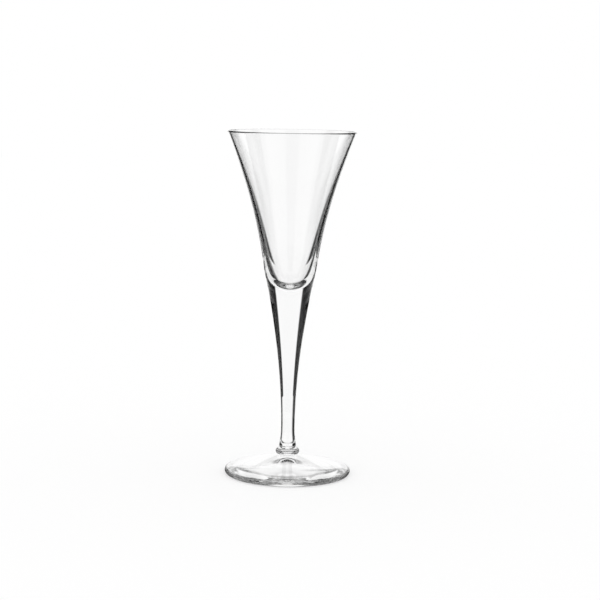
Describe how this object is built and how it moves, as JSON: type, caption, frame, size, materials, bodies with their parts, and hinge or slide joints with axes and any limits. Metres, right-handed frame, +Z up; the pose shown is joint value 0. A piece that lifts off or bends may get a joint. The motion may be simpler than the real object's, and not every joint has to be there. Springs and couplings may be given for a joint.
{
  "type": "cordial glass",
  "caption": "Stemmed cordial glass with a trumpet-shaped bowl, a tapering solid stem, a small collar and a round foot, for serving a small pour of liqueur.",
  "frame": {"origin": "centre of the ring under the foot that the glass stands on", "axes": "+Z up along the axis of the glass, from the foot to the rim; X and Y are any two square directions, because the glass is round"},
  "size_m": [0.06, 0.06, 0.162],
  "materials": {
    "clear_glass": "clear, colourless, fire-polished glass"
  },
  "bodies": {
    "root": {"bowl": "clear_glass", "stem": "clear_glass", "collar": "clear_glass", "foot": "clear_glass"}
  },
  "joints": []
}
